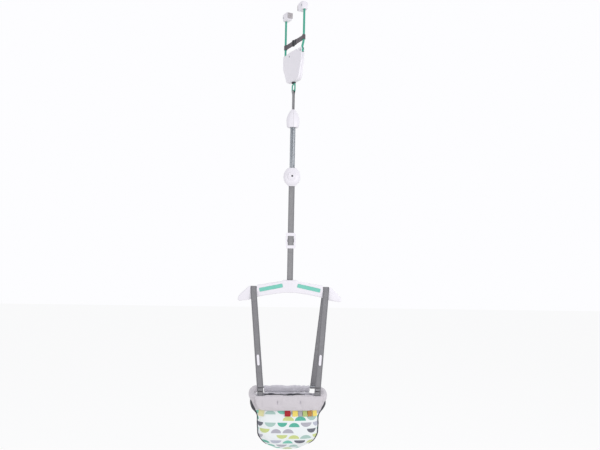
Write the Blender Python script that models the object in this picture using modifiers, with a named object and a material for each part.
"""Baby doorway jumper: a door clamp, a spring unit, an adjustable strap, a hanger and a cloth seat.

All lengths are metres. Z is up, X runs along the hanger and -Y is the front. The origin lies midway
between the clamp's two pads, level with their undersides, where they rest on top of a door frame.
"""
import math

import bmesh
import bpy
from mathutils import Matrix, Vector

# Fits shared by every piece
TOUCH = 0.0003
RUNNING_FIT = 0.0004
OVERRUN = 0.02
MERGE = 0.00001
SLIVER = 0.00008
FLAT_ANGLE = math.radians(0.5)

# Door clamp: its jaws lie along the clamp's own Y, turned from the hanger by this yaw
CLAMP_YAW = math.radians(24)
JAW_HALF = 0.083
ARM_ROD = 0.009
PAD_WIDE = 0.030
PAD_DEEP = 0.046
PAD_TALL = 0.030
PAD_WALL = 0.003
PAD_EDGE = 0.004
PAD_GRIP_THICK = 0.005
PAD_GRIP_TOOTH = 0.0012
PAD_GRIP_TEETH = 5
PAD_ROCK_ROOM = 0.0022
PAD_PIN = 0.004
PAD_PIN_HEAD = 0.007
PAD_PIN_HEAD_THICK = 0.0015
ARM_BEND_DROP = 0.127

HOUSING_TOP_DROP = 0.151
HOUSING_TALL = 0.128
HOUSING_FRONT = 0.0765
HOUSING_REAR = 0.0905
HOUSING_THICK = 0.030
HOUSING_END_THICK = 0.0135
HOUSING_FLAT_SHARE = 0.42
HOUSING_WAIST_SHARE = 0.42
HOUSING_FRONT_FOOT_SHARE = 0.72
HOUSING_REAR_FOOT_SHARE = 0.48
HOUSING_WALL = 0.0022
HOUSING_FLOOR = 0.006
HOUSING_EDGE = 0.0022
HOUSING_CORNER = 0.020
HORN_LONG = 0.026
NOTCH_LONG = 0.014
NOTCH_DEEP = 0.012

ARM_PIVOT_IN = 0.0065
ARM_PIVOT_DROP = 0.0125
ARM_HUB = 0.015
PIVOT_PIN = 0.006
PIVOT_HEAD = 0.009
PIVOT_HEAD_THICK = 0.0014
REAR_ARM_TAIL = 0.045
SCREW_DIA = 0.004
SCREW_HEAD = 0.0075
SCREW_HEAD_THICK = 0.0016
SCREW_BOSS = 0.009
HOUSING_SCREW_BACK = 0.018
HOUSING_SCREW_DROP = 0.018

# Safety strap between the arms
SAFETY_DROP = 0.113
SAFETY_WIDE = 0.020
SAFETY_THICK = 0.0018
BUCKLE_LONG = 0.034
BUCKLE_TALL = 0.025
BUCKLE_THICK = 0.009
BUCKLE_EDGE = 0.0015
BUCKLE_SOCKET_SHARE = 0.4
SAFETY_NECK = 0.013

# Swivel eye under the clamp, and the short webbing loop that hangs on it
SWIVEL_YAW = math.radians(16)
EYE_ROD = 0.006
EYE_TALL = 0.034
EYE_CORNER = 0.0045
COLLAR_DIA = 0.018
COLLAR_TALL = 0.006
COLLAR_CHAMFER = 0.0018
NUT_DIA = 0.014
NUT_TALL = 0.006
WEB_WIDE = 0.025
WEB_THICK = 0.0015
WEB_SIDE_ROOM = 0.0012
LOOP_NECK_SHARE = 3.2

# Spring unit
UPPER_TOP_DROP = 0.397
UPPER_TALL = 0.073
UPPER_WIDE = 0.055
UPPER_DEEP = 0.044
COVER_WALL = 0.0024
ANCHOR_PIN = 0.006
UPPER_PIN_DOWN = 0.016
SPRING_OUTER = 0.0235
SPRING_WIRE = 0.0036
SPRING_GAP = 0.0010
SPRING_VISIBLE = 0.171
SPRING_HOLE_ROOM = 0.0010
CURL_POINTS = 8
LOWER_WIDE = 0.071
LOWER_TALL = 0.075
LOWER_DEEP = 0.046
BOSS_DIA = 0.034
BOSS_PROUD = 0.003
BOSS_SCREW_HEAD = 0.008
BOSS_DOWN = 0.0345
BOSS_ROOT = 0.0036
BOLT_TAIL_ROOM = 0.0031
LOWER_PIN_UP = 0.021
SPRING_PIN = 0.005
PIN_SPACING = 0.012
SPRING_HIDDEN = 0.010
SPRING_LEAD = 0.0058
SPRING_RUN_IN = 0.0093
LEAD_POINTS = 5
COVER_POINTS = 20
UPPER_SQUARENESS = 2.2
LOWER_SQUARENESS = 2.2
UPPER_PIN_REACH_SHARE = 0.70
LOWER_PIN_REACH_SHARE = 0.62
UPPER_SHARES = [
    (0.00, 0.34, 0.74), (0.09, 0.52, 0.80), (0.20, 0.72, 0.88), (0.37, 0.90, 0.96),
    (0.56, 1.00, 1.00), (0.78, 0.99, 0.98), (0.94, 0.92, 0.92), (1.00, 0.80, 0.84),
]
LOWER_SHARES = [
    (0.00, 0.52, 0.70), (0.07, 0.68, 0.80), (0.18, 0.86, 0.90), (0.34, 0.98, 0.98),
    (0.50, 1.00, 1.00), (0.66, 0.96, 0.96), (0.80, 0.82, 0.84), (0.90, 0.62, 0.62),
    (0.96, 0.48, 0.42), (1.00, 0.44, 0.34),
]

# Long strap and its adjuster, whose middle hangs below the lower cover
ADJUSTER_BELOW_COVER = 0.2285
ADJUSTER_TALL = 0.0655
ADJUSTER_WIDE = 0.041
ADJUSTER_BAR = 0.013
ADJUSTER_RAIL = 0.0065
ADJUSTER_THICK = 0.008
ADJUSTER_EDGE = 0.0015

# Hanger, its outline from the centre to a tip as shares of its half length and of its tip's drop
HANGER_BELOW_ADJUSTER = 0.1655
HANGER_WIDE = 0.439
HANGER_DEEP = 0.034
HANGER_TIP_DROP = 0.090
HANGER_EDGE = 0.004
HANGER_WALL = 0.0024
HANGER_CORNER = 0.009
HANGER_TOP_SHARES = [
    (0.135, 0.0), (0.160, 0.055), (0.590, 0.235), (0.790, 0.320), (0.970, 0.740), (1.0, 1.0),
]
HANGER_LOW_SHARES = [(0.775, 0.930), (0.590, 0.775), (0.320, 0.655), (0.110, 0.585)]
SADDLE_X = 0.1515
SADDLE_WIDE = 0.0275
SADDLE_DEEP = 0.0035
SADDLE_ROUND = 0.018
SADDLE_STEPS = 12
INLAY_LONG = 0.098
INLAY_TALL = 0.0155
INLAY_THICK = 0.003
INLAY_SUNK = 0.0022
INLAY_START = 0.030
INLAY_HEIGHT_SHARE = 0.58
STRAP_LIFT = WEB_THICK / 2 + 2 * TOUCH
CENTRE_PIN_DOWN = 0.014
CENTRE_POCKET_HALF = 0.0057
CENTRE_PIN_SEAT = 0.006

# Seat: a hoop of two straight bars joined by round ends, with padding, cloth and trim
HOOP_BELOW_HANGER = 0.469
HOOP_HALF = 0.150
HOOP_BAR_HALF = 0.1275
HOOP_DEPTH_HALF = 0.090
HOOP_ROD = 0.010
STRAP_HOOP_X = 0.1145
TAB_LONG = 0.044
TAB_WIDE = 0.010
TAB_THICK = 0.0025
TAB_ABOVE_HOOP = 0.145
RIM_THICK = 0.024
RIM_TALL = 0.034
RIM_SINK = 0.008
RIM_SQUARENESS = 2.3
FRONT_RIM_SHARE = 0.85
RIM_SHARES = [(-1.0, 0.80), (-0.95, 0.95), (-0.85, 1.0), (0.0, 1.0), (0.85, 1.0), (0.95, 0.95), (1.0, 0.80)]
RIM_STRAP_ROOM = 0.0015
RIM_POINTS = 10
PANEL_HALF = 0.137
PANEL_TALL = 0.060
PANEL_THICK = 0.014
PANEL_ABOVE_HOOP = 0.008
PANEL_SEAT_SHARE = 0.96
PANEL_TUFT_X = 0.046
PANEL_TUFT_DOWN = 0.026
PANEL_TUFT_WIDE = 0.012
PANEL_TUFT_TALL = 0.017
PANEL_TUFT_DEEP = 0.0022
PILLOW_SQUARENESS = 2.6
PILLOW_POINTS = 16
PANEL_SHARES = [
    (1.0, 0.35, 0.34), (0.96, 0.62, 0.62), (0.88, 0.86, 0.86), (0.70, 0.97, 0.98), (0.36, 1.0, 1.0),
]
LINING_HALF = 0.100
LINING_TALL = 0.085
LINING_THICK = 0.009
LINING_SHARES = [
    (1.0, 0.60, 0.45), (0.93, 0.85, 0.80), (0.80, 1.0, 0.95), (0.64, 1.0, 1.0), (0.48, 1.0, 1.0),
    (0.32, 1.0, 1.0), (0.16, 1.0, 1.0),
]
LINING_FOLD_DEEP = 0.0035
LINING_FOLD_PITCH = 0.064
CLOTH_THICK = 0.003
CLOTH_PROUD = 0.0005
CLOTH_TALL = 0.2077
CLOTH_POINTS = 24
CLOTH_SHARES = [
    (0.00, 0.985, 1.00, 4.2), (0.14, 0.930, 1.00, 4.2), (0.30, 0.870, 0.995, 4.2), (0.50, 0.850, 0.96, 4.2),
    (0.66, 0.830, 0.89, 4.0), (0.80, 0.735, 0.77, 3.4), (0.90, 0.570, 0.62, 2.9), (0.965, 0.400, 0.45, 2.5),
    (1.00, 0.230, 0.26, 2.4),
]
LEG_HOLE_TURN = math.radians(30)
LEG_HOLE_TALL = 0.180
LEG_HOLE_LONG = 0.112
LEG_HOLE_OUT = 0.125
LEG_HOLE_DOWN = 0.1117
LEG_HOLE_BACK = 0.010
BINDING_DIA = 0.005
BINDING_POINTS = 20
TAG_WIDE = 0.0178
TAG_LONG = 0.036
TAG_THICK = 0.0010
TAG_FOLD = 0.0014
TAG_STAND_OFF = 0.0004
TAG_STEPS = 12
TAG_DOWN = 0.051
TAGS = [
    ("pale_yellow_tag", "yellow_ribbon", -0.78), ("red_tag", "red_ribbon", -0.03),
    ("yellow_tag", "yellow_ribbon", 0.19), ("grey_tag", "grey_ribbon", 0.335),
    ("lime_tag", "lime_ribbon", 0.475), ("orange_tag", "orange_ribbon", 0.615),
    ("gold_tag", "yellow_ribbon", 0.755),
]

# Colours, roughness and metallic value of each piece's material
FINISH = {
    "white_plastic": ((0.80, 0.78, 0.80), 0.42, 0.0),
    "teal_coating": ((0.08, 0.43, 0.32), 0.38, 0.2),
    "teal_plastic": ((0.16, 0.55, 0.44), 0.45, 0.0),
    "dark_plastic": ((0.03, 0.03, 0.035), 0.50, 0.0),
    "grip_rubber": ((0.62, 0.60, 0.61), 0.85, 0.0),
    "steel": ((0.55, 0.56, 0.58), 0.32, 1.0),
    "spring_steel": ((0.36, 0.39, 0.43), 0.30, 1.0),
    "dark_webbing": ((0.08, 0.075, 0.085), 0.85, 0.0),
    "grey_webbing": ((0.29, 0.29, 0.30), 0.85, 0.0),
    "light_padding": ((0.62, 0.59, 0.60), 0.90, 0.0),
    "grey_lining": ((0.38, 0.37, 0.41), 0.90, 0.0),
    "printed_cloth": ((0.78, 0.80, 0.82), 0.88, 0.0),
    "dark_binding": ((0.04, 0.04, 0.045), 0.80, 0.0),
    "red_ribbon": ((0.45, 0.01, 0.02), 0.60, 0.0),
    "yellow_ribbon": ((0.85, 0.68, 0.18), 0.60, 0.0),
    "grey_ribbon": ((0.42, 0.41, 0.45), 0.60, 0.0),
    "lime_ribbon": ((0.45, 0.52, 0.20), 0.60, 0.0),
    "orange_ribbon": ((0.55, 0.28, 0.06), 0.60, 0.0),
}

for old in list(bpy.data.objects):
    bpy.data.objects.remove(old)

parts = bpy.data.collections.new("baby_doorway_jumper")
cutters = bpy.data.collections.new("cutters")
bpy.context.scene.collection.children.link(parts)
bpy.context.scene.collection.children.link(cutters)


def material(slot):
    """The named Principled material, made once."""
    found = bpy.data.materials.get(slot)
    if found:
        return found
    colour, roughness, metallic = FINISH[slot]
    made = bpy.data.materials.new(slot)
    made.use_nodes = True
    shader = made.node_tree.nodes["Principled BSDF"]
    shader.inputs["Base Color"].default_value = (*colour, 1)
    shader.inputs["Roughness"].default_value = roughness
    shader.inputs["Metallic"].default_value = metallic
    return made


def frame(name, location=(0, 0, 0), yaw=0, parent=None):
    """An empty that carries the pieces of one moving body, on its joint's axis."""
    empty = bpy.data.objects.new(name, None)
    parts.objects.link(empty)
    empty.location = location
    empty.rotation_euler.z = yaw
    empty.parent = parent
    return empty


def add(name, mesh, slot, body):
    """A named piece. Its mesh is drawn in the frame of its body's parent, so it is moved back."""
    piece = bpy.data.objects.new(name, mesh)
    piece.data.name = name
    parts.objects.link(piece)
    piece.parent = body
    piece.location = -body.location
    piece.data.materials.clear()
    piece.data.materials.append(material(slot))
    for face in piece.data.polygons:
        face.material_index = 0
    piece.data.shade_smooth()
    piece.data.set_sharp_from_angle(angle=math.radians(35))
    return piece


def combine(piece, mesh, operation, label):
    """Cuts a piece with a mesh drawn in the same frame, or joins the mesh to it."""
    tool = bpy.data.objects.new(f"{piece.name}_{label}", mesh)
    cutters.objects.link(tool)
    tool.parent = piece.parent
    tool.location = piece.location
    tool.hide_render = True
    tool.display_type = "WIRE"
    modifier = piece.modifiers.new(label, "BOOLEAN")
    modifier.operation = operation
    modifier.solver = "EXACT"
    modifier.object = tool


def cut(piece, mesh, label):
    combine(piece, mesh, "DIFFERENCE", label)


def join(piece, mesh, label):
    combine(piece, mesh, "UNION", label)


def evaluated_mesh(thing):
    """A plain mesh of an object with its modifiers or curve settings applied and its caps welded."""
    parts.objects.link(thing)
    graph = bpy.context.evaluated_depsgraph_get()
    graph.update()
    mesh = bpy.data.meshes.new_from_object(thing.evaluated_get(graph))
    mesh.transform(thing.matrix_world)
    bpy.data.objects.remove(thing)
    work = bmesh.new()
    work.from_mesh(mesh)
    bmesh.ops.remove_doubles(work, verts=work.verts, dist=MERGE)
    work.to_mesh(mesh)
    work.free()
    return mesh


def block(size, centre, edge=0.0, segments=2):
    """A box of the given size, with rounded edges where edge is given."""
    work = bmesh.new()
    bmesh.ops.create_cube(work, size=1)
    bmesh.ops.scale(work, vec=size, verts=work.verts)
    if edge:
        bmesh.ops.bevel(work, geom=list(work.edges), offset=edge, segments=segments,
                        profile=0.5, affect="EDGES")
    bmesh.ops.translate(work, vec=centre, verts=work.verts)
    mesh = bpy.data.meshes.new("block")
    work.to_mesh(mesh)
    work.free()
    return mesh


def ball(half, centre):
    """An ellipsoid with half sizes along X, Y and Z."""
    work = bmesh.new()
    bmesh.ops.create_uvsphere(work, u_segments=10, v_segments=6, radius=1)
    bmesh.ops.scale(work, vec=half, verts=work.verts)
    bmesh.ops.translate(work, vec=centre, verts=work.verts)
    mesh = bpy.data.meshes.new("ball")
    work.to_mesh(mesh)
    work.free()
    return mesh


def rod(radius, length, centre, axis="Z", sides=16):
    """A cylinder along X, Y or Z about its centre."""
    work = bmesh.new()
    bmesh.ops.create_cone(work, cap_ends=True, segments=sides, radius1=radius, radius2=radius,
                          depth=length)
    turns = {"X": Matrix.Rotation(math.pi / 2, 3, "Y"), "Y": Matrix.Rotation(math.pi / 2, 3, "X")}
    if axis in turns:
        bmesh.ops.rotate(work, matrix=turns[axis], verts=work.verts)
    bmesh.ops.translate(work, vec=centre, verts=work.verts)
    mesh = bpy.data.meshes.new("rod")
    work.to_mesh(mesh)
    work.free()
    return mesh


def tube(points, radius, resolution=2, cyclic=False):
    """A round bar along a list of points, closed at its ends or round into itself."""
    curve = bpy.data.curves.new("tube", "CURVE")
    curve.dimensions = "3D"
    curve.bevel_depth = radius
    curve.bevel_resolution = resolution
    curve.use_fill_caps = not cyclic
    spline = curve.splines.new("POLY")
    spline.points.add(len(points) - 1)
    for slot, point in zip(spline.points, points):
        slot.co = (*point, 1)
    spline.use_cyclic_u = cyclic
    return evaluated_mesh(bpy.data.objects.new("tube", curve))


def plate(outlines, thick, plane, centre=0.0):
    """A flat piece from closed outlines, an outer one and any holes, in plane YZ, XZ or XY."""
    curve = bpy.data.curves.new("plate", "CURVE")
    curve.dimensions = "2D"
    curve.fill_mode = "BOTH"
    curve.extrude = thick / 2
    for outline in outlines:
        spline = curve.splines.new("POLY")
        spline.points.add(len(outline) - 1)
        for slot, (across, up) in zip(spline.points, outline):
            slot.co = (across, up, 0, 1)
        spline.use_cyclic_u = True
    mesh = evaluated_mesh(bpy.data.objects.new("plate", curve))
    stand = {
        "YZ": Matrix(((0, 0, 1, centre), (1, 0, 0, 0), (0, 1, 0, 0), (0, 0, 0, 1))),
        "XZ": Matrix(((1, 0, 0, 0), (0, 0, -1, centre), (0, 1, 0, 0), (0, 0, 0, 1))),
        "XY": Matrix(((1, 0, 0, 0), (0, 1, 0, 0), (0, 0, 1, centre), (0, 0, 0, 1))),
    }
    mesh.transform(stand[plane])
    return mesh


def turned(profile, steps):
    """A turned solid about Z. Its profile of (radius, height) runs down the outer side."""
    mesh = bpy.data.meshes.new("profile")
    mesh.from_pydata([(radius, 0, height) for radius, height in profile],
                     [(i, i + 1) for i in range(len(profile) - 1)], [])
    thing = bpy.data.objects.new("profile", mesh)
    screw = thing.modifiers.new("turn", "SCREW")
    screw.angle = math.tau
    screw.steps = steps
    screw.render_steps = steps
    screw.use_merge_vertices = True
    screw.merge_threshold = MERGE
    return evaluated_mesh(thing)


def arc(centre, radius, start, end, steps):
    """Points on an arc between two angles in degrees."""
    angles = [math.radians(start + (end - start) * i / steps) for i in range(steps + 1)]
    return [(centre[0] + radius * math.cos(a), centre[1] + radius * math.sin(a)) for a in angles]


def rounded(corners, steps=4):
    """A closed outline from corners (across, up, radius), each corner turned by an arc."""
    points = []
    count = len(corners)
    for i, (px, py, radius) in enumerate(corners):
        here = Vector((px, py))
        before = Vector(corners[i - 1][:2]) - here
        after = Vector(corners[(i + 1) % count][:2]) - here
        if radius <= 0:
            points.append(tuple(here))
            continue
        half = before.angle(after) / 2
        reach = min(radius / math.tan(half), before.length * 0.49, after.length * 0.49)
        bend = reach * math.tan(half)
        middle = here + (before.normalized() + after.normalized()).normalized() * bend / math.sin(half)
        first = here + before.normalized() * reach - middle
        last = here + after.normalized() * reach - middle
        turn = first.angle_signed(last)
        for step in range(steps + 1):
            spin = Matrix.Rotation(-turn * step / steps, 2)
            points.append(tuple(middle + spin @ first))
    return points


def offset(path, distance, closed):
    """A path moved sideways, to its left for a positive distance."""
    points = [Vector(p) for p in path]
    count = len(points)
    moved = []
    for i, here in enumerate(points):
        before = here - points[i - 1] if i or closed else points[1] - here
        after = points[(i + 1) % count] - here if i < count - 1 or closed else before
        left = Vector((-before.y, before.x)).normalized() + Vector((-after.y, after.x)).normalized()
        left.normalize()
        spread = max(left.dot(Vector((-before.y, before.x)).normalized()), 0.5)
        moved.append(tuple(here + left * distance / spread))
    return moved


def shave(mesh, point, normal):
    """Cuts off what lies beyond a plane and closes the cut."""
    work = bmesh.new()
    work.from_mesh(mesh)
    result = bmesh.ops.bisect_plane(work, geom=work.verts[:] + work.edges[:] + work.faces[:],
                                    dist=MERGE / 10, plane_co=point, plane_no=normal, clear_outer=True)
    rim = [item for item in result["geom_cut"] if isinstance(item, bmesh.types.BMEdge)]
    bmesh.ops.holes_fill(work, edges=rim)
    bmesh.ops.recalc_face_normals(work, faces=work.faces)
    work.to_mesh(mesh)
    work.free()
    return mesh


def loft(rings, close_start, close_end, cyclic=True):
    """A skin over rings of points with equal counts, optionally closed at either end."""
    work = bmesh.new()
    rows = [[work.verts.new(point) for point in ring] for ring in rings]
    count = len(rows[0])
    spans = count if cyclic else count - 1
    for upper, lower in zip(rows, rows[1:]):
        for i in range(spans):
            j = (i + 1) % count
            work.faces.new((upper[i], lower[i], lower[j], upper[j]))
    if close_start:
        work.faces.new(rows[0])
    if close_end:
        work.faces.new(rows[-1][::-1])
    if close_start and close_end:
        bmesh.ops.recalc_face_normals(work, faces=work.faces)
    mesh = bpy.data.meshes.new("loft")
    work.to_mesh(mesh)
    work.free()
    return mesh


def hollow(rings, wall):
    """A skin over rings, open at both ends, with a wall inside it."""
    thing = bpy.data.objects.new("hollow", loft(rings, False, False))
    modifier = thing.modifiers.new("wall", "SOLIDIFY")
    modifier.thickness = wall
    modifier.offset = -1
    modifier.use_even_offset = True
    return evaluated_mesh(thing)


def oval(half_x, half_y, height, power, count):
    """Points on a superellipse at one height, anticlockwise seen from above."""
    ring = []
    for i in range(count):
        a = math.tau * i / count
        c, s = math.cos(a), math.sin(a)
        ring.append((half_x * math.copysign(abs(c) ** (2 / power), c),
                     half_y * math.copysign(abs(s) ** (2 / power), s), height))
    return ring


def soften(mesh, width, where=None, segments=2, angle=30):
    """Rounds the sharp edges of a mesh whose ends all pass a test of their place."""
    work = bmesh.new()
    work.from_mesh(mesh)
    limit = math.radians(angle)
    edges = [edge for edge in work.edges
             if len(edge.link_faces) == 2 and edge.calc_face_angle() > limit
             and (where is None or all(where(v.co) for v in edge.verts))]
    bmesh.ops.bevel(work, geom=edges, offset=width, segments=segments, profile=0.5,
                    affect="EDGES", clamp_overlap=True)
    bmesh.ops.remove_doubles(work, verts=work.verts, dist=SLIVER)
    bmesh.ops.dissolve_degenerate(work, dist=SLIVER, edges=work.edges)
    bmesh.ops.dissolve_limit(work, angle_limit=FLAT_ANGLE, verts=work.verts, edges=work.edges)
    work.to_mesh(mesh)
    work.free()
    return mesh


def laid(mesh, centre, axis="X"):
    """A mesh drawn about Z, laid along X or Y and moved to its centre."""
    turn = {"X": Matrix.Rotation(math.pi / 2, 4, "Y"), "Y": Matrix.Rotation(math.pi / 2, 4, "X"),
            "Z": Matrix.Identity(4)}[axis]
    mesh.transform(Matrix.Translation(centre) @ turn)
    return mesh


def headed_pin(length, radius, head, head_thick, both_heads, steps=12):
    """A pin about Z, centred, with a head at its top and, if asked, at its foot."""
    top = length / 2
    profile = [(0, top + head_thick), (head, top + head_thick), (head, top), (radius, top)]
    if both_heads:
        profile += [(radius, -top), (head, -top), (head, -top - head_thick), (0, -top - head_thick)]
    else:
        profile += [(radius, -top), (0, -top)]
    return turned(profile, steps)


def hanger_points(shares):
    """Points of the hanger's outline from its centre to its right tip."""
    return [(wide * HANGER_WIDE / 2, hanger_top - fall * HANGER_TIP_DROP) for wide, fall in shares]


def hanger_edge(shares, x):
    """Height of the hanger's upper or lower edge at a distance from its centre."""
    points = sorted(hanger_points(shares))
    for (x0, z0), (x1, z1) in zip(points, points[1:]):
        if x0 <= x <= x1:
            return z0 + (z1 - z0) * (x - x0) / (x1 - x0)
    return points[0][1] if x < points[0][0] else points[-1][1]


# Heights of the assembly, downwards from the pads
eye_top_z = -HOUSING_TOP_DROP - HOUSING_TALL - COLLAR_TALL - 2 * TOUCH - EYE_ROD / 2
eye_bar_z = eye_top_z - EYE_TALL + EYE_ROD
upper_top = -UPPER_TOP_DROP
upper_bottom = upper_top - UPPER_TALL
upper_pin_z = upper_top - UPPER_PIN_DOWN
upper_spring_pin_z = upper_pin_z - PIN_SPACING
lower_top = upper_bottom - SPRING_VISIBLE
boss_z = lower_top - BOSS_DOWN
lower_spring_pin_z = boss_z
lower_pin_z = lower_top - LOWER_TALL + LOWER_PIN_UP
adjuster_z = lower_top - LOWER_TALL - ADJUSTER_BELOW_COVER
hanger_top = adjuster_z - HANGER_BELOW_ADJUSTER
centre_pin_z = hanger_top - CENTRE_PIN_DOWN
saddle_z = hanger_edge(HANGER_TOP_SHARES, SADDLE_X) - SADDLE_DEEP
saddle_pivot_z = saddle_z - SADDLE_ROUND
hoop_z = hanger_top - HOOP_BELOW_HANGER
panel_top = hoop_z + PANEL_ABOVE_HOOP
cloth_top_z = hoop_z - RIM_SINK - RIM_TALL / 2 - TOUCH
cloth_bottom_z = cloth_top_z - CLOTH_TALL

# Moving bodies, each an empty on its joint's axis
clamp = frame("clamp_frame", yaw=CLAMP_YAW)
swivel_frame = frame("swivel_frame", yaw=SWIVEL_YAW)

housing_top = -HOUSING_TOP_DROP
housing_bottom = housing_top - HOUSING_TALL
pivot_y = -(HOUSING_FRONT - ARM_PIVOT_IN)
pivot_z = housing_top - ARM_PIVOT_DROP
pad_pin_z = PAD_TALL / 2

front_arm_body = frame("front_arm_axis", (0, pivot_y, pivot_z), parent=clamp)
front_pad_body = frame("front_pad_axis", (0, -JAW_HALF, pad_pin_z), parent=clamp)
rear_pad_body = frame("rear_pad_axis", (0, JAW_HALF, pad_pin_z), parent=clamp)
swivel_body = frame("swivel_axis", (0, 0, eye_top_z), parent=swivel_frame)
spring_top_body = frame("spring_top_axis", (0, 0, eye_bar_z), parent=swivel_frame)
bounce_body = frame("bounce_axis", (0, 0, lower_top))
adjuster_body = frame("adjuster_axis", (0, 0, adjuster_z))
hanger_body = frame("hanger_axis", (0, 0, centre_pin_z))
seat_body = frame("seat_axis", (0, 0, saddle_pivot_z))


def housing_shape(side):
    """Half of the housing, from the parting plane outwards, thinner towards both ends."""
    half = HOUSING_THICK / 2 - TOUCH / 2
    mesh = plate([rounded(housing_corners(), 3)], half, "YZ", side * (TOUCH / 2 + half / 2))
    for end, reach in ((-1, HOUSING_FRONT), (1, HOUSING_REAR)):
        flat_end = end * reach * HOUSING_FLAT_SHARE
        rise = (HOUSING_THICK - HOUSING_END_THICK) / 2
        run = abs(end * reach - flat_end)
        shave(mesh, (side * HOUSING_THICK / 2, flat_end, 0), (side * run, end * rise, 0))
    return soften(mesh, HOUSING_EDGE, lambda co: abs(co.x) > HOUSING_THICK / 8, 1)


def housing_corners():
    """The housing's side view: a level top with a notch behind its front horn, a rounded foot."""
    waist = housing_top - HOUSING_TALL * HOUSING_WAIST_SHARE
    foot_front = -HOUSING_FRONT * HOUSING_FRONT_FOOT_SHARE
    foot_rear = HOUSING_REAR * HOUSING_REAR_FOOT_SHARE
    horn_end = -HOUSING_FRONT + HORN_LONG
    return [
        (foot_front, housing_bottom, HOUSING_CORNER), (foot_rear, housing_bottom, HOUSING_CORNER),
        (HOUSING_REAR, waist, HOUSING_CORNER), (HOUSING_REAR, housing_top, HOUSING_EDGE),
        (horn_end + NOTCH_LONG, housing_top, NOTCH_LONG / 4),
        (horn_end + NOTCH_LONG / 3, housing_top - NOTCH_DEEP, NOTCH_LONG / 5),
        (horn_end, housing_top, NOTCH_LONG / 5), (-HOUSING_FRONT, housing_top, HOUSING_EDGE),
        (-HOUSING_FRONT, waist, HOUSING_CORNER),
    ]


def housing_cavity(side):
    """The room inside one housing half, behind the horn and in front of the rear arm's socket."""
    half = HOUSING_THICK / 2
    depth = half - HOUSING_WALL
    slot_floor = pivot_z - ARM_HUB / 2 - 3 * HOUSING_WALL
    waist = housing_top - HOUSING_TALL * HOUSING_WAIST_SHARE
    rear = JAW_HALF - ARM_ROD / 2 - HOUSING_WALL
    lip = housing_top - NOTCH_DEEP - HOUSING_WALL
    floor = housing_bottom + HOUSING_FLOOR
    corners = [
        (-HOUSING_FRONT * HOUSING_FRONT_FOOT_SHARE + HOUSING_WALL, floor, HOUSING_CORNER / 2),
        (HOUSING_REAR * HOUSING_REAR_FOOT_SHARE - 2 * HOUSING_WALL, floor, HOUSING_CORNER / 2),
        (rear, waist, HOUSING_CORNER / 2), (rear, lip, HOUSING_EDGE),
        (-HOUSING_FRONT + HORN_LONG, lip, HOUSING_EDGE),
        (-HOUSING_FRONT + HORN_LONG, slot_floor, HOUSING_EDGE),
        (-HOUSING_FRONT + 2 * HOUSING_WALL, slot_floor, HOUSING_EDGE),
        (-HOUSING_FRONT + 2 * HOUSING_WALL, waist, HOUSING_CORNER / 2),
    ]
    mesh = plate([rounded(corners, 2)], depth + OVERRUN, "YZ", side * (depth - OVERRUN) / 2)
    for end, reach in ((-1, HOUSING_FRONT), (1, HOUSING_REAR)):
        flat_end = end * reach * HOUSING_FLAT_SHARE
        rise = (HOUSING_THICK - HOUSING_END_THICK) / 2
        run = abs(end * reach - flat_end)
        shave(mesh, (side * depth, flat_end, 0), (side * run, end * rise, 0))
    return mesh


def build_housing():
    boss_y = HOUSING_SCREW_BACK
    boss_z = housing_top - HOUSING_SCREW_DROP
    depth = HOUSING_THICK / 2 - HOUSING_WALL / 2
    for name, side in (("clamp_housing_left", -1), ("clamp_housing_right", 1)):
        piece = add(name, housing_shape(side), "white_plastic", clamp)
        cut(piece, housing_cavity(side), "cavity")
        boss = rod(SCREW_BOSS / 2, depth - TOUCH, (side * (depth + TOUCH) / 2, boss_y, boss_z), "X", 16)
        join(piece, boss, "boss")
        slot_tall = ARM_PIVOT_DROP + ARM_HUB / 2 + HOUSING_WALL + OVERRUN
        slot_long = ARM_PIVOT_IN + ARM_HUB / 2 + HOUSING_WALL / 2 + OVERRUN
        slot = block((ARM_ROD + 2 * RUNNING_FIT, slot_long, slot_tall),
                     (0, -HOUSING_FRONT - OVERRUN + slot_long / 2, housing_top + OVERRUN - slot_tall / 2))
        cut(piece, slot, "arm_slot")
        hole = rod(PIVOT_PIN / 2 + RUNNING_FIT, HOUSING_THICK * 2, (0, pivot_y, pivot_z), "X", 16)
        cut(piece, hole, "pivot_hole")
        head_seat = side * (HOUSING_END_THICK / 2 + OVERRUN / 2)
        recess = rod(PIVOT_HEAD / 2 + RUNNING_FIT, OVERRUN, (head_seat, pivot_y, pivot_z), "X", 16)
        cut(piece, recess, "pivot_recess")
        tail = REAR_ARM_TAIL + TOUCH + OVERRUN
        cut(piece, rod(ARM_ROD / 2 + TOUCH, tail, (0, JAW_HALF, housing_top + OVERRUN - tail / 2), "Z", 20),
            "rear_arm_socket")
        cut(piece, rod(EYE_ROD / 2 + RUNNING_FIT, HOUSING_FLOOR + OVERRUN, (0, 0, housing_bottom), "Z", 16),
            "swivel_hole")
        cut(piece, rod(SCREW_DIA / 2 + TOUCH, HOUSING_THICK * 2, (0, boss_y, boss_z), "X", 12), "screw_hole")
        sink = HOUSING_THICK / 2 - SCREW_HEAD_THICK
        recess = rod(SCREW_HEAD / 2 + TOUCH, OVERRUN, (side * (sink + OVERRUN / 2), boss_y, boss_z), "X", 16)
        cut(piece, recess, "screw_recess")
    length = 2 * (HOUSING_THICK / 2 - SCREW_HEAD_THICK + TOUCH)
    screw = headed_pin(length, SCREW_DIA / 2, SCREW_HEAD / 2, SCREW_HEAD_THICK, True)
    add("clamp_housing_screw", laid(screw, (0, boss_y, boss_z)), "steel", clamp)
    length = 2 * (HOUSING_END_THICK / 2 + TOUCH)
    pin = headed_pin(length, PIVOT_PIN / 2, PIVOT_HEAD / 2, PIVOT_HEAD_THICK, True)
    add("arm_pivot_pin", laid(pin, (0, pivot_y, pivot_z)), "steel", clamp)


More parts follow.
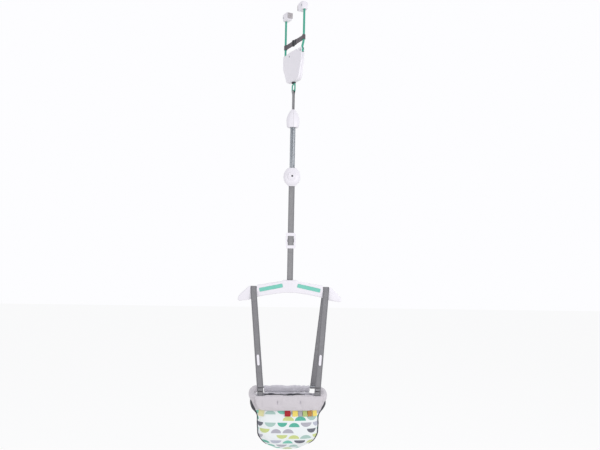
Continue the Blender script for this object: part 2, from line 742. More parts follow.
def arm_tip(side):
    """The arm's upper run: up past the safety strap and into its pad."""
    return [(0, side * JAW_HALF, -ARM_BEND_DROP), (0, side * JAW_HALF, pad_pin_z + ARM_ROD)]


def build_arms():
    foot = (0, pivot_y, pivot_z + ARM_HUB / 4)
    neck_z = housing_top + ARM_ROD / 2
    middle_y = (pivot_y - JAW_HALF) / 2
    path = [foot, (0, pivot_y, neck_z - ARM_ROD / 2), (0, middle_y, (neck_z - ARM_BEND_DROP) / 2),
            *arm_tip(-1)]
    front = add("front_arm", tube(path, ARM_ROD / 2, 2), "teal_coating", front_arm_body)
    join(front, rod(ARM_HUB / 2, ARM_ROD, (0, pivot_y, pivot_z), "X", 20), "hub")
    cut(front, rod(PIVOT_PIN / 2 + RUNNING_FIT, ARM_ROD * 2, (0, pivot_y, pivot_z), "X", 16), "pivot_bore")
    straight = [(0, JAW_HALF, housing_top - REAR_ARM_TAIL), *arm_tip(1)]
    rear = add("rear_arm", tube(straight, ARM_ROD / 2, 2), "teal_coating", clamp)
    for arm, side in ((front, -1), (rear, 1)):
        hole = rod(PAD_PIN / 2 + TOUCH, ARM_ROD * 2, (0, side * JAW_HALF, pad_pin_z), "X", 12)
        cut(arm, hole, "pad_pin_hole")


def build_pad(name, side, body, arm_body):
    """A moulded pad that rocks on a cross pin through the arm's end, and its ribbed rubber face."""
    outer = JAW_HALF + ARM_ROD / 2 + PAD_ROCK_ROOM + PAD_WALL
    centre = (0, side * (outer - PAD_DEEP / 2), PAD_TALL / 2)
    pad = add(name, block((PAD_WIDE, PAD_DEEP, PAD_TALL), centre, PAD_EDGE, 2), "white_plastic", body)
    socket_tall = pad_pin_z + ARM_ROD + PAD_ROCK_ROOM + OVERRUN
    socket = block((ARM_ROD + 2 * RUNNING_FIT, ARM_ROD + 2 * PAD_ROCK_ROOM, socket_tall),
                   (0, side * JAW_HALF, socket_tall / 2 - OVERRUN))
    cut(pad, socket, "arm_socket")
    hole = rod(PAD_PIN / 2 + TOUCH, PAD_WIDE * 2, (0, side * JAW_HALF, pad_pin_z), "X", 12)
    cut(pad, hole, "pin_hole")
    for face in (-1, 1):
        recess = rod(PAD_PIN_HEAD / 2 + TOUCH, OVERRUN,
                     (face * (PAD_WIDE / 2 - PAD_PIN_HEAD_THICK + OVERRUN / 2), side * JAW_HALF, pad_pin_z),
                     "X", 16)
        cut(pad, recess, f"pin_recess_{'left' if face < 0 else 'right'}")
    pin = headed_pin(PAD_WIDE - 2 * (PAD_PIN_HEAD_THICK - TOUCH), PAD_PIN / 2, PAD_PIN_HEAD / 2,
                     PAD_PIN_HEAD_THICK - 2 * TOUCH, True)
    add(name + "_pin", laid(pin, (0, side * JAW_HALF, pad_pin_z)), "steel", arm_body)
    inner = outer - PAD_DEEP - TOUCH
    tall = PAD_TALL - 2 * PAD_EDGE
    pitch = tall / PAD_GRIP_TEETH
    outline = [(inner, PAD_EDGE), (inner, PAD_TALL - PAD_EDGE)]
    for i in range(PAD_GRIP_TEETH):
        high = PAD_TALL - PAD_EDGE - i * pitch
        outline += [(inner - PAD_GRIP_THICK, high), (inner - PAD_GRIP_THICK, high - pitch / 2),
                    (inner - PAD_GRIP_THICK + PAD_GRIP_TOOTH, high - pitch / 2),
                    (inner - PAD_GRIP_THICK + PAD_GRIP_TOOTH, high - pitch)]
    outline = [(side * across, up) for across, up in outline]
    rubber = plate([outline], PAD_WIDE - 2 * PAD_EDGE, "YZ")
    add(name + "_grip", rubber, "grip_rubber", body)


def build_safety_strap():
    """The webbing that ties the arms together: a loop round each arm, ending in half a buckle."""
    wrap = ARM_ROD / 2 + RUNNING_FIT + SAFETY_THICK / 2
    gap = TOUCH + SAFETY_THICK / 2
    for name, side, body in (("safety_strap_front", -1, front_arm_body), ("safety_strap_rear", 1, clamp)):
        start = side * (BUCKLE_LONG / 2 + TOUCH)
        far = side * (JAW_HALF - SAFETY_NECK)
        turn = arc((0, side * JAW_HALF), wrap, 180 + side * 30, 180 + side * 30 - side * 240, 10)
        path = [(-gap, start), (-gap, far), *turn, (gap, far), (gap, start)]
        outline = offset(path, SAFETY_THICK / 2, False) + offset(path, -SAFETY_THICK / 2, False)[::-1]
        add(name, plate([outline], SAFETY_WIDE, "XY", -SAFETY_DROP), "dark_webbing", body)
    socket_long = BUCKLE_LONG * BUCKLE_SOCKET_SHARE - TOUCH
    plug_long = BUCKLE_LONG - socket_long - TOUCH
    size = (BUCKLE_THICK, socket_long, BUCKLE_TALL)
    centre = (0, (BUCKLE_LONG - socket_long) / 2, -SAFETY_DROP)
    add("buckle_socket", block(size, centre, BUCKLE_EDGE, 1), "dark_plastic", clamp)
    size = (BUCKLE_THICK - 2 * BUCKLE_EDGE, plug_long, BUCKLE_TALL - 2 * BUCKLE_EDGE)
    centre = (0, (plug_long - BUCKLE_LONG) / 2, -SAFETY_DROP)
    add("buckle_plug", block(size, centre, BUCKLE_EDGE, 1), "dark_plastic", front_arm_body)


def build_swivel():
    """The teal eye that turns in the housing's foot, its bush and its nut, and the webbing loop."""
    collar_top = housing_bottom - TOUCH
    bore = EYE_ROD / 2 + RUNNING_FIT
    foot = collar_top - COLLAR_TALL
    profile = [(bore, collar_top), (COLLAR_DIA / 2, collar_top), (COLLAR_DIA / 2, foot + COLLAR_CHAMFER),
               (COLLAR_DIA / 2 - COLLAR_CHAMFER, foot), (bore, foot), (bore, collar_top)]
    add("swivel_collar", turned(profile, 16), "dark_plastic", clamp)
    half = WEB_WIDE / 2 + WEB_SIDE_ROOM + EYE_ROD / 2
    corners = [(-half, eye_bar_z, EYE_CORNER), (half, eye_bar_z, EYE_CORNER),
               (half, eye_top_z, EYE_CORNER), (-half, eye_top_z, EYE_CORNER)]
    ring = [(0, across, up) for across, up in rounded(corners, 3)]
    link = add("swivel_link", tube(ring, EYE_ROD / 2, 2, True), "teal_coating", swivel_body)
    shank_top = housing_bottom + HOUSING_FLOOR + NUT_TALL
    shank = rod(EYE_ROD / 2 - TOUCH / 2, shank_top - eye_top_z, (0, 0, (shank_top + eye_top_z) / 2), "Z", 12)
    join(link, shank, "shank")
    nut_low = housing_bottom + HOUSING_FLOOR + TOUCH
    bore = EYE_ROD / 2 + TOUCH
    ring_nut = [(bore, nut_low + NUT_TALL), (NUT_DIA / 2, nut_low + NUT_TALL), (NUT_DIA / 2, nut_low),
                (bore, nut_low), (bore, nut_low + NUT_TALL)]
    add("swivel_nut", turned(ring_nut, 6), "steel", swivel_body)


def strap_loop(high, high_radius, low, low_radius, thick):
    """Outer and inner outline of webbing that loops over one bar and under another."""
    leg = thick / 2 + TOUCH
    over = arc((0, high), high_radius + RUNNING_FIT + thick / 2, -35, 215, 10)
    under = arc((0, low), low_radius + RUNNING_FIT + thick / 2, 145, 395, 10)
    neck = LOOP_NECK_SHARE * (high_radius + thick)
    waist = LOOP_NECK_SHARE * (low_radius + thick)
    path = [*over, (-leg, high - neck), (-leg, low + waist), *under, (leg, low + waist), (leg, high - neck)]
    return [offset(path, -thick / 2, True), offset(path, thick / 2, True)]


def build_upper_cover():
    """The short webbing, the bell shaped cover in two halves and the two pins inside it."""
    outlines = strap_loop(eye_bar_z, EYE_ROD / 2, upper_pin_z, ANCHOR_PIN / 2, WEB_THICK)
    add("top_webbing", plate(outlines, WEB_WIDE, "XZ"), "grey_webbing", spring_top_body)
    rings = [oval(UPPER_WIDE / 2 * wide, UPPER_DEEP / 2 * deep, upper_top - UPPER_TALL * height,
                  UPPER_SQUARENESS, COVER_POINTS) for height, wide, deep in UPPER_SHARES]
    hole = SPRING_OUTER / 2 + SPRING_HOLE_ROOM
    rings.append(oval(hole, hole, upper_bottom, 2, COVER_POINTS))
    for name, side in (("upper_cover_left", -1), ("upper_cover_right", 1)):
        half = shave(hollow(rings, COVER_WALL), (side * TOUCH / 2, 0, 0), (-side, 0, 0))
        add(name, half, "white_plastic", spring_top_body)
    room = UPPER_DEEP * UPPER_PIN_REACH_SHARE
    for name, dia, height in (("upper_webbing_pin", ANCHOR_PIN, upper_pin_z),
                              ("upper_spring_pin", SPRING_PIN, upper_spring_pin_z)):
        add(name, rod(dia / 2, room, (0, 0, height), "Y", 14), "steel", spring_top_body)


def spring_path():
    """The spring's wire: a straight end, a run out to the coil, the curls, and the same again below."""
    radius = (SPRING_OUTER - SPRING_WIRE) / 2
    pitch = SPRING_WIRE + SPRING_GAP
    coil_high = upper_bottom + SPRING_HIDDEN
    coil_low = lower_top - SPRING_HIDDEN
    curls = round((coil_high - coil_low) / pitch)
    pitch = (coil_high - coil_low) / curls
    top = upper_spring_pin_z - SPRING_PIN / 2 - TOUCH
    bottom = lower_spring_pin_z + SPRING_PIN / 2 + TOUCH
    spread = LEAD_POINTS
    points = [(0, 0, top), (0, 0, top - SPRING_WIRE), (0, 0, coil_high + SPRING_RUN_IN)]
    for i in range(1, spread):
        share = i / spread
        angle = math.pi * (share - 1)
        reach = radius * math.sin(math.pi / 2 * share)
        height = coil_high + SPRING_LEAD * (1 - share) ** 1.5
        points.append((reach * math.cos(angle), reach * math.sin(angle), height))
    total = curls * CURL_POINTS
    for i in range(total + 1):
        angle = math.tau * i / CURL_POINTS
        height = coil_high - pitch * i / CURL_POINTS
        points.append((radius * math.cos(angle), radius * math.sin(angle), height))
    for i in range(1, spread):
        share = 1 - i / spread
        angle = math.pi * (1 - share)
        reach = radius * math.sin(math.pi / 2 * share)
        height = coil_low - SPRING_LEAD * (1 - share) ** 1.5
        points.append((reach * math.cos(angle), reach * math.sin(angle), height))
    points += [(0, 0, coil_low - SPRING_RUN_IN), (0, 0, bottom + SPRING_WIRE), (0, 0, bottom)]
    return points, curls


def least_gap(points, wire, skip):
    """The smallest space between points of a wound wire that lie over half a turn apart."""
    near = min((Vector(a) - Vector(b)).length for i, a in enumerate(points)
               for b in points[i + skip:i + 3 * skip])
    return near - wire


def build_spring():
    points, curls = spring_path()
    gap = least_gap(points[3:-3], SPRING_WIRE, CURL_POINTS // 2 + 1)
    print(f"spring: {curls} curls, least gap to itself {gap * 1000:.2f} mm")
    add("spring", tube(points, SPRING_WIRE / 2, 1), "spring_steel", spring_top_body)


def build_lower_cover():
    """The round cover under the spring, with its boss, the bolt that holds the spring and a pin."""
    hole = SPRING_OUTER / 2 + SPRING_HOLE_ROOM
    rings = [oval(hole, hole, lower_top, 2, COVER_POINTS)]
    rings += [oval(LOWER_WIDE / 2 * wide, LOWER_DEEP / 2 * deep, lower_top - LOWER_TALL * height,
                   LOWER_SQUARENESS, COVER_POINTS) for height, wide, deep in LOWER_SHARES]
    for name, side in (("lower_cover_front", -1), ("lower_cover_rear", 1)):
        half = shave(hollow(rings, COVER_WALL), (0, side * TOUCH / 2, 0), (0, -side, 0))
        cover = add(name, half, "white_plastic", bounce_body)
        if side < 0:
            outer = LOWER_DEEP / 2 + BOSS_PROUD
            inner = LOWER_DEEP / 2 - BOSS_ROOT
            boss = soften(rod(BOSS_DIA / 2, outer - inner, (0, -(outer + inner) / 2, boss_z), "Y", 24),
                          BOSS_PROUD / 3, lambda co: co.y < -LOWER_DEEP / 2)
            join(cover, boss, "boss")
            hole = rod(SPRING_PIN / 2 + TOUCH, LOWER_DEEP, (0, -LOWER_DEEP / 2, boss_z), "Y", 14)
            cut(cover, hole, "bolt_hole")
            recess_y = -outer + BOSS_PROUD - OVERRUN / 2
            recess = rod(BOSS_SCREW_HEAD / 2 + TOUCH, OVERRUN, (0, recess_y, boss_z), "Y", 18)
            cut(cover, recess, "bolt_recess")
    head_y = LOWER_DEEP / 2 + TOUCH
    tail_y = LOWER_DEEP / 2 - BOLT_TAIL_ROOM
    bolt = headed_pin(head_y + tail_y, SPRING_PIN / 2, BOSS_SCREW_HEAD / 2, BOSS_PROUD * 0.7, False, 18)
    add("lower_cover_bolt", laid(bolt, (0, (tail_y - head_y) / 2, boss_z), "Y"), "dark_plastic", bounce_body)
    room = LOWER_WIDE * LOWER_PIN_REACH_SHARE
    add("lower_cover_pin", rod(ANCHOR_PIN / 2, room, (0, 0, lower_pin_z), "X", 14), "steel", bounce_body)


def build_long_strap():
    """The doubled webbing from the spring down to the hanger, and the frame that slides on it."""
    outlines = strap_loop(lower_pin_z, ANCHOR_PIN / 2, centre_pin_z, ANCHOR_PIN / 2, WEB_THICK)
    add("long_webbing", plate(outlines, WEB_WIDE, "YZ"), "grey_webbing", bounce_body)
    half_wide = ADJUSTER_WIDE / 2
    high = adjuster_z + ADJUSTER_TALL / 2
    low = adjuster_z - ADJUSTER_TALL / 2
    corner = ADJUSTER_RAIL
    outer = rounded([(-half_wide, low, corner), (half_wide, low, corner), (half_wide, high, corner),
                     (-half_wide, high, corner)])
    inner = half_wide - ADJUSTER_RAIL
    sill = low + ADJUSTER_BAR
    head = high - ADJUSTER_BAR
    window = rounded([(-inner, sill, ADJUSTER_EDGE), (inner, sill, ADJUSTER_EDGE),
                      (inner, head, ADJUSTER_EDGE), (-inner, head, ADJUSTER_EDGE)], 2)

    def outside(co):
        return max(abs(co.x) - half_wide, abs(co.z - adjuster_z) - ADJUSTER_TALL / 2) > -corner / 2

    mesh = soften(plate([outer, window], ADJUSTER_THICK, "XZ"), ADJUSTER_EDGE / 2, outside)
    piece = add("height_adjuster", mesh, "white_plastic", adjuster_body)
    depth = WEB_THICK + TOUCH + RUNNING_FIT
    channel = block((WEB_WIDE + 2 * WEB_SIDE_ROOM, depth + ADJUSTER_THICK, ADJUSTER_TALL + OVERRUN),
                    (0, (ADJUSTER_THICK - depth) / 2, adjuster_z))
    cut(piece, channel, "webbing_channel")
    bar_thick = ADJUSTER_THICK / 2 - depth
    bar = block((2 * inner + ADJUSTER_RAIL, bar_thick, ADJUSTER_BAR), (0, depth + bar_thick / 2, adjuster_z))
    join(piece, bar, "centre_bar")


def build_hanger():
    """Two moulded shells with teal inlays, a pocket for the long strap's pin and a saddle at each end."""
    side_points = hanger_points(HANGER_TOP_SHARES + HANGER_LOW_SHARES)
    right = [(x, z, HANGER_CORNER) for x, z in side_points]
    left = [(-x, z, HANGER_CORNER) for x, z in reversed(side_points)]
    outline = rounded(right + left, 2)
    thick = HANGER_DEEP / 2 - TOUCH / 2
    pocket_half = WEB_WIDE / 2 + WEB_SIDE_ROOM
    pocket_tall = CENTRE_PIN_DOWN + CENTRE_POCKET_HALF + OVERRUN
    pocket = (2 * pocket_half, 2 * CENTRE_POCKET_HALF, pocket_tall)
    pocket_place = (0, 0, hanger_top + OVERRUN - pocket_tall / 2)
    for name, side in (("hanger_front", -1), ("hanger_rear", 1)):
        mesh = plate([outline], thick, "XZ", side * (thick + TOUCH) / 2)
        mesh = soften(mesh, HANGER_EDGE, lambda co: abs(co.y) > HANGER_DEEP / 4, 1)
        piece = add(name, mesh, "white_plastic", hanger_body)
        depth = HANGER_DEEP / 2 - HANGER_WALL - INLAY_SUNK
        for end in (-1, 1):
            word = "left" if end < 0 else "right"
            start = pocket_half + CENTRE_PIN_SEAT + HANGER_WALL
            finish = SADDLE_X - SADDLE_WIDE / 2 - HANGER_WALL
            bends = [x for x, z in hanger_points(HANGER_LOW_SHARES)]
            bends = [x for x in bends if start + HANGER_EDGE < x < finish - HANGER_EDGE]
            roof = HANGER_EDGE + HANGER_WALL
            floor = HANGER_EDGE + TOUCH
            room = [(end * x, hanger_edge(HANGER_TOP_SHARES, x) - roof) for x in (start, finish)]
            room += [(end * x, hanger_edge(HANGER_LOW_SHARES, x) + floor) for x in (finish, *bends, start)]
            cut(piece, saddle_room(end), "saddle_" + word)
            cut(piece, plate([room], depth + OVERRUN, "XZ", side * (depth - OVERRUN) / 2), "cavity_" + word)
        cut(piece, block(pocket, pocket_place), "strap_pocket")
        pin_long = 2 * (pocket_half + CENTRE_PIN_SEAT)
        seat = rod(ANCHOR_PIN / 2 + TOUCH, pin_long + 2 * TOUCH, (0, 0, centre_pin_z), "X", 14)
        cut(piece, seat, "pin_seat")
        if side < 0:
            for end in (-1, 1):
                word = "left" if end < 0 else "right"
                cut(piece, inlay(end, TOUCH, OVERRUN), "inlay_recess_" + word)
                add(f"hanger_inlay_{word}", inlay(end, 0, 0), "teal_plastic", hanger_body)
    add("hanger_pin", rod(ANCHOR_PIN / 2, pin_long, (0, 0, centre_pin_z), "X", 14), "steel", hanger_body)


def saddle_room(end):
    """What is cut away over one saddle, down to the round back that the side strap rocks on."""
    back = arc((0, saddle_pivot_z), SADDLE_ROUND, 0, 180, SADDLE_STEPS)
    far = SADDLE_ROUND + OVERRUN
    high = saddle_z + OVERRUN
    outline = back + [(-far, saddle_pivot_z), (-far, high), (far, high), (far, saddle_pivot_z)]
    return plate([outline[::-1]], SADDLE_WIDE, "YZ", end * SADDLE_X)


def inlay(end, room, overrun):
    """One teal inlay along an arm of the hanger, or with room added the recess that takes it."""
    start = INLAY_START
    middle_x = start + INLAY_LONG / 2
    high = [hanger_edge(HANGER_TOP_SHARES, x) for x in (start, start + INLAY_LONG)]
    low = [hanger_edge(HANGER_LOW_SHARES, x) for x in (start, start + INLAY_LONG)]
    middle_z = sum(low) / 2 + (sum(high) - sum(low)) / 2 * INLAY_HEIGHT_SHARE
    slope = math.atan2(high[1] - high[0], INLAY_LONG)
    half_long = INLAY_LONG / 2 + room
    half_tall = INLAY_TALL / 2 + room
    corner = INLAY_TALL / 5
    shape = rounded([(-half_long, -half_tall, corner), (half_long, -half_tall, corner),
                     (half_long, half_tall, corner), (-half_long, half_tall, corner)], 3)
    back = -HANGER_DEEP / 2 + INLAY_SUNK + room
    front = -HANGER_DEEP / 2 + INLAY_SUNK - INLAY_THICK - overrun
    mesh = plate([shape], back - front, "XZ", (back + front) / 2)
    if not room:
        soften(mesh, INLAY_THICK / 5, lambda co: co.y < -HANGER_DEEP / 2)
    mesh.transform(Matrix.Translation((end * middle_x, 0, middle_z)) @ Matrix.Rotation(-end * slope, 4, "Y"))
    return mesh


def ribbon(path, wide, thick):
    """Webbing along points (x, y, z), its width along X."""
    rings = []
    for i, here in enumerate(path):
        before = Vector(path[max(i - 1, 0)])
        after = Vector(path[min(i + 1, len(path) - 1)])
        run = after - before
        normal = Vector((0, -run.z, run.y)).normalized() * thick / 2
        half = Vector((wide / 2, 0, 0))
        back, front = Vector(here) - normal, Vector(here) + normal
        rings.append([back - half, back + half, front + half, front - half])
    return loft(rings, True, True)


def leg_line():
    """Where a side strap leaves its saddle and meets the hoop, as (y, z), and the angle it leaves at."""
    reach = HOOP_ROD / 2 + RUNNING_FIT + WEB_THICK / 2
    bottom = (-(HOOP_DEPTH_HALF + reach), hoop_z + HOOP_ROD / 4)
    bend = SADDLE_ROUND + STRAP_LIFT
    run = Vector((bottom[0], bottom[1] - saddle_pivot_z))
    leave = math.tau + math.atan2(run.y, run.x) - math.acos(bend / run.length)
    top = (bend * math.cos(leave), saddle_pivot_z + bend * math.sin(leave))
    return top, bottom, math.degrees(leave)


def build_side_straps():
    """Each strap runs from the hoop's front bar up over the hanger's saddle and down to the rear bar."""
    top, bottom, leave = leg_line()
    reach = HOOP_ROD / 2 + RUNNING_FIT + WEB_THICK / 2
    half = arc((0, saddle_pivot_z), SADDLE_ROUND + STRAP_LIFT, 90, leave, 6)
    steps = 6
    half += [(top[0] + (bottom[0] - top[0]) * i / steps, top[1] + (bottom[1] - top[1]) * i / steps)
             for i in range(1, steps)]
    half += [bottom] + arc((-HOOP_DEPTH_HALF, hoop_z), reach, 180, 380, 9)
    for name, side in (("left_side_strap", -1), ("right_side_strap", 1)):
        points = []
        for y, z in half:
            share = min(max((z - top[1]) / (bottom[1] - top[1]), 0), 1)
            points.append((side * (SADDLE_X + (STRAP_HOOP_X - SADDLE_X) * share), y, z))
        path = points[::-1] + [(x, -y, z) for x, y, z in points[1:]]
        add(name, ribbon(path, WEB_WIDE, WEB_THICK), "grey_webbing", seat_body)
        build_tab(name.replace("side_strap", "strap_tab"), side, top, bottom)


def build_tab(name, side, top, bottom):
    """The oblong tab sewn on the front of a side strap, in line with it."""
    height = hoop_z + TAB_ABOVE_HOOP
    share = (height - top[1]) / (bottom[1] - top[1])
    place = Vector((side * (SADDLE_X + (STRAP_HOOP_X - SADDLE_X) * share),
                    top[0] + (bottom[0] - top[0]) * share, height))
    up = Vector((side * (SADDLE_X - STRAP_HOOP_X), top[0] - bottom[0], top[1] - bottom[1])).normalized()
    out = Vector((1, 0, 0)).cross(up).normalized()
    across = up.cross(out)
    end = TAB_WIDE / 2
    shape = rounded([(-TAB_WIDE / 2, -TAB_LONG / 2, end), (TAB_WIDE / 2, -TAB_LONG / 2, end),
                     (TAB_WIDE / 2, TAB_LONG / 2, end), (-TAB_WIDE / 2, TAB_LONG / 2, end)], 3)
    mesh = soften(plate([shape], TAB_THICK, "XY"), TAB_THICK / 4, lambda co: co.z > 0, 1)
    lift = WEB_THICK / 2 + TOUCH + TAB_THICK / 2
    turn = Matrix((across, up, out)).transposed().to_4x4()
    mesh.transform(Matrix.Translation(place + out * lift) @ turn)
    add(name, mesh, "white_plastic", seat_body)


def hoop_point(turn):
    """A point of the hoop's right end, and its outward direction, from -90 degrees in front to 90."""
    wide = HOOP_HALF - HOOP_BAR_HALF
    point = Vector((HOOP_BAR_HALF + wide * math.cos(turn), HOOP_DEPTH_HALF * math.sin(turn)))
    out = Vector((math.cos(turn) * HOOP_DEPTH_HALF, math.sin(turn) * wide)).normalized()
    return point, out


def hoop_path():
    right = [hoop_point(math.radians(-90 + 20 * i))[0] for i in range(10)]
    return [(x, y, hoop_z) for x, y in right] + [(-x, y, hoop_z) for x, y in reversed(right)]


def rim_ring(place, out, grow):
    """One section of the padded rim: an upright oval about the hoop."""
    ring = []
    for across, up, _ in oval(RIM_THICK / 2 * grow, RIM_TALL / 2 * grow, 0, RIM_SQUARENESS, RIM_POINTS):
        ring.append((place.x + out.x * across, place.y + out.y * across, hoop_z - RIM_SINK + up))
    return ring


def build_hoop_and_rim():
    add("seat_hoop", tube(hoop_path(), HOOP_ROD / 2, 1, True), "steel", seat_body)
    bore = HOOP_ROD / 2 + TOUCH
    strap_in = STRAP_HOOP_X - WEB_WIDE / 2 - RIM_STRAP_ROOM
    strap_out = STRAP_HOOP_X + WEB_WIDE / 2 + RIM_STRAP_ROOM
    for name, side, size in (("front_rim_pad", -1, FRONT_RIM_SHARE), ("rear_rim_pad", 1, 1.0)):
        rings = [rim_ring(Vector((strap_in * share, side * HOOP_DEPTH_HALF)), Vector((0, 1)), grow * size)
                 for share, grow in RIM_SHARES]
        pad = add(name, loft(rings, True, True), "light_padding", seat_body)
        cut(pad, tube(hoop_path(), bore, 1, True), "hoop_bore")
    first = math.acos((strap_out - HOOP_BAR_HALF) / (HOOP_HALF - HOOP_BAR_HALF))
    steps = 8
    for name, side in (("left_rim_pad", -1), ("right_rim_pad", 1)):
        rings = []
        for i in range(steps + 1):
            place, out = hoop_point(-first + 2 * first * i / steps)
            grow = RIM_SHARES[min(i, steps - i, 2)][1]
            ring = rim_ring(place, out, grow)
            rings.append([(side * x, y, z) for x, y, z in ring])
        pad = add(name, loft(rings, True, True), "light_padding", seat_body)
        cut(pad, tube(hoop_path(), bore, 1, True), "hoop_bore")


def cloth_section(z):
    """Half width, half depth and squareness of the seat cloth at a height."""
    depth = (cloth_top_z - z) / CLOTH_TALL
    for low, high in zip(CLOTH_SHARES, CLOTH_SHARES[1:]):
        if depth <= high[0]:
            break
    share = min(max((depth - low[0]) / (high[0] - low[0]), 0), 1)
    wide, deep, power = (a + (b - a) * share for a, b in zip(low[1:], high[1:]))
    return wide * (HOOP_HALF + CLOTH_PROUD), deep * (HOOP_DEPTH_HALF + CLOTH_PROUD), power


def cloth_depth(x, z):
    """How far the cloth's outer face stands from the middle plane at a width and height."""
    wide, deep, power = cloth_section(z)
    ring = oval(wide, deep, z, power, CLOTH_POINTS)[:CLOTH_POINTS // 4 + 1]
    x = min(max(abs(x), ring[-1][0]), ring[0][0])
    spans = [(outer, inner) for outer, inner in zip(ring, ring[1:]) if inner[0] <= x <= outer[0]]
    outer, inner = spans[0]
    return inner[1] + (outer[1] - inner[1]) * (x - inner[0]) / (outer[0] - inner[0])


def leg_axes(side):
    """Centre, axis, backward and upward directions of one leg opening."""
    centre = Vector((side * LEG_HOLE_OUT, LEG_HOLE_BACK, cloth_top_z - LEG_HOLE_DOWN))
    axis = Vector((side * math.cos(LEG_HOLE_TURN), 0, -math.sin(LEG_HOLE_TURN)))
    up = Vector((side * math.sin(LEG_HOLE_TURN), 0, math.cos(LEG_HOLE_TURN)))
    return centre, axis, Vector((0, 1, 0)), up


def build_cloth():
    """The hanging seat of printed cloth, open above, with a bound opening for each leg."""
    rings = []
    for height, *_ in CLOTH_SHARES:
        z = cloth_top_z - height * CLOTH_TALL
        wide, deep, power = cloth_section(z)
        rings.append(oval(wide, deep, z, power, CLOTH_POINTS))
    thing = bpy.data.objects.new("cloth", loft(rings, False, True))
    wall = thing.modifiers.new("wall", "SOLIDIFY")
    wall.thickness = CLOTH_THICK
    wall.offset = -1
    wall.use_even_offset = True
    piece = add("seat_cloth", evaluated_mesh(thing), "printed_cloth", seat_body)
    for word, side in (("left", -1), ("right", 1)):
        centre, axis, back, up = leg_axes(side)
        hole = rod(1, HOOP_HALF, (0, 0, 0), "Z", BINDING_POINTS)
        turn = Matrix((back * LEG_HOLE_LONG / 2, up * LEG_HOLE_TALL / 2, axis)).transposed().to_4x4()
        if turn.determinant() < 0:
            turn = turn @ Matrix.Scale(-1, 4, (0, 0, 1))
        hole.transform(Matrix.Translation(centre) @ turn)
        cut(piece, hole, "leg_opening_" + word)
        binding = tube(binding_path(side), BINDING_DIA / 2, 1, True)
        add(f"{word}_leg_binding", binding, "dark_binding", seat_body)


def binding_path(side):
    """The binding follows the cloth's middle surface, just inside the edge of its leg opening."""
    centre, axis, back, up = leg_axes(side)
    inside = BINDING_DIA / 2 + TOUCH
    points = []
    for i in range(BINDING_POINTS):
        a = math.tau * i / BINDING_POINTS
        start = centre + back * (LEG_HOLE_LONG / 2 - inside) * math.cos(a)
        start += up * (LEG_HOLE_TALL / 2 - inside) * math.sin(a)
        low, high = -LEG_HOLE_OUT, HOOP_HALF
        for _ in range(40):
            middle = (low + high) / 2
            point = start + axis * middle
            half_x, half_y, power = cloth_section(point.z)
            half_x, half_y = half_x - CLOTH_THICK / 2, half_y - CLOTH_THICK / 2
            value = (abs(point.x) / half_x) ** power + (abs(point.y) / half_y) ** power
            inner = value < 1 and point.z > cloth_bottom_z + CLOTH_THICK / 2
            low, high = (middle, high) if inner else (low, middle)
        points.append(tuple(start + axis * low))
    return points


def pillow(half, tall, thick, shares, top_z, depth_at):
    """A pad drawn from end to end as ovals: thickness and height fall away towards its ends."""
    stations = [(-x, t, h) for x, t, h in shares] + [(0, 1, 1)] + [(x, t, h) for x, t, h in reversed(shares)]
    rings = []
    for x_share, thick_share, tall_share in stations:
        x = half * x_share
        high = tall / 2 * tall_share
        ring = []
        for across, up, _ in oval(thick / 2 * thick_share, high, 0, PILLOW_SQUARENESS, PILLOW_POINTS):
            z = top_z - high + up
            ring.append((x, depth_at(x, z) + across, z))
        rings.append(ring)
    return loft(rings, True, True)


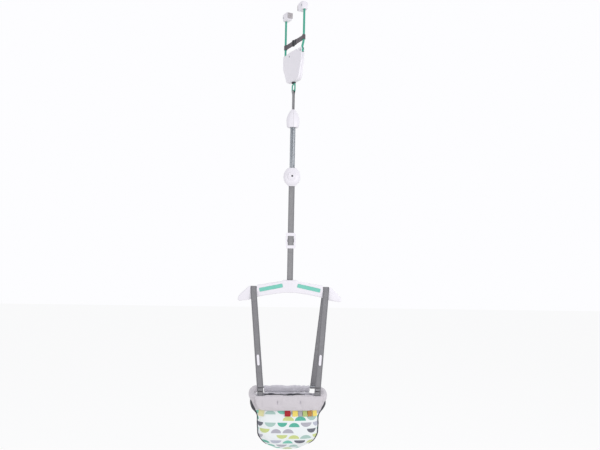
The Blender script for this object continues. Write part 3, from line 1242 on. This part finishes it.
def build_panels():
    stand = RIM_THICK / 2 * FRONT_RIM_SHARE + TOUCH + PANEL_THICK / 2 * PANEL_SEAT_SHARE
    front_y = -(HOOP_DEPTH_HALF + stand)
    panel = pillow(PANEL_HALF, PANEL_TALL, PANEL_THICK, PANEL_SHARES, panel_top, lambda x, z: front_y)
    piece = add("front_panel", panel, "light_padding", seat_body)
    for word, side in (("left", -1), ("right", 1)):
        tuft = ball((PANEL_TUFT_WIDE / 2, PANEL_TUFT_DEEP, PANEL_TUFT_TALL / 2),
                    (side * PANEL_TUFT_X, front_y - PANEL_THICK / 2, panel_top - PANEL_TUFT_DOWN))
        cut(piece, tuft, "tuft_" + word)
    top = cloth_top_z - TOUCH
    inward = CLOTH_THICK + 2 * TOUCH + LINING_THICK / 2
    low = top - LINING_TALL

    def behind(x, z):
        fold = (1 - math.cos(math.tau * x / LINING_FOLD_PITCH)) / 2
        return cloth_depth(x, z) - inward - LINING_FOLD_DEEP * fold

    lining = pillow(LINING_HALF, LINING_TALL, LINING_THICK, LINING_SHARES, top, behind)
    add("back_lining", lining, "grey_lining", seat_body)


def build_tags():
    """Folded ribbons that hang in a row from under the front panel."""
    for name, slot, share in TAGS:
        x = share * PANEL_HALF
        z = panel_top - TAG_DOWN
        ends = [cloth_depth(x + side * TAG_WIDE / 2, z) for side in (-1, 1)]
        slope = math.atan2(ends[1] - ends[0], TAG_WIDE)
        leg = TAG_FOLD / 2 + TAG_THICK / 2
        bend = arc((0, -TAG_LONG + leg), leg, 180, 360, 6)
        path = [(-leg, 0), *bend, (leg, 0)]
        outline = offset(path, TAG_THICK / 2, False) + offset(path, -TAG_THICK / 2, False)[::-1]
        mesh = plate([outline], TAG_WIDE, "YZ")
        bulge = 0
        for i in range(TAG_STEPS + 1):
            share = i / TAG_STEPS
            here = cloth_depth(x + (share - 0.5) * TAG_WIDE, z)
            bulge = max(bulge, here - ends[0] - (ends[1] - ends[0]) * share)
        reach = sum(ends) / 2 + bulge + (leg + TAG_THICK / 2 + TAG_STAND_OFF) / math.cos(slope)
        mesh.transform(Matrix.Translation((x, -reach, z)) @ Matrix.Rotation(-slope, 4, "Z"))
        add(name, mesh, slot, seat_body)


build_housing()
build_arms()
build_pad("front_pad", -1, front_pad_body, front_arm_body)
build_pad("rear_pad", 1, rear_pad_body, clamp)
build_safety_strap()
build_swivel()
build_upper_cover()
build_spring()
build_lower_cover()
build_long_strap()
build_hanger()
build_side_straps()
build_hoop_and_rim()
build_cloth()
build_panels()
build_tags()
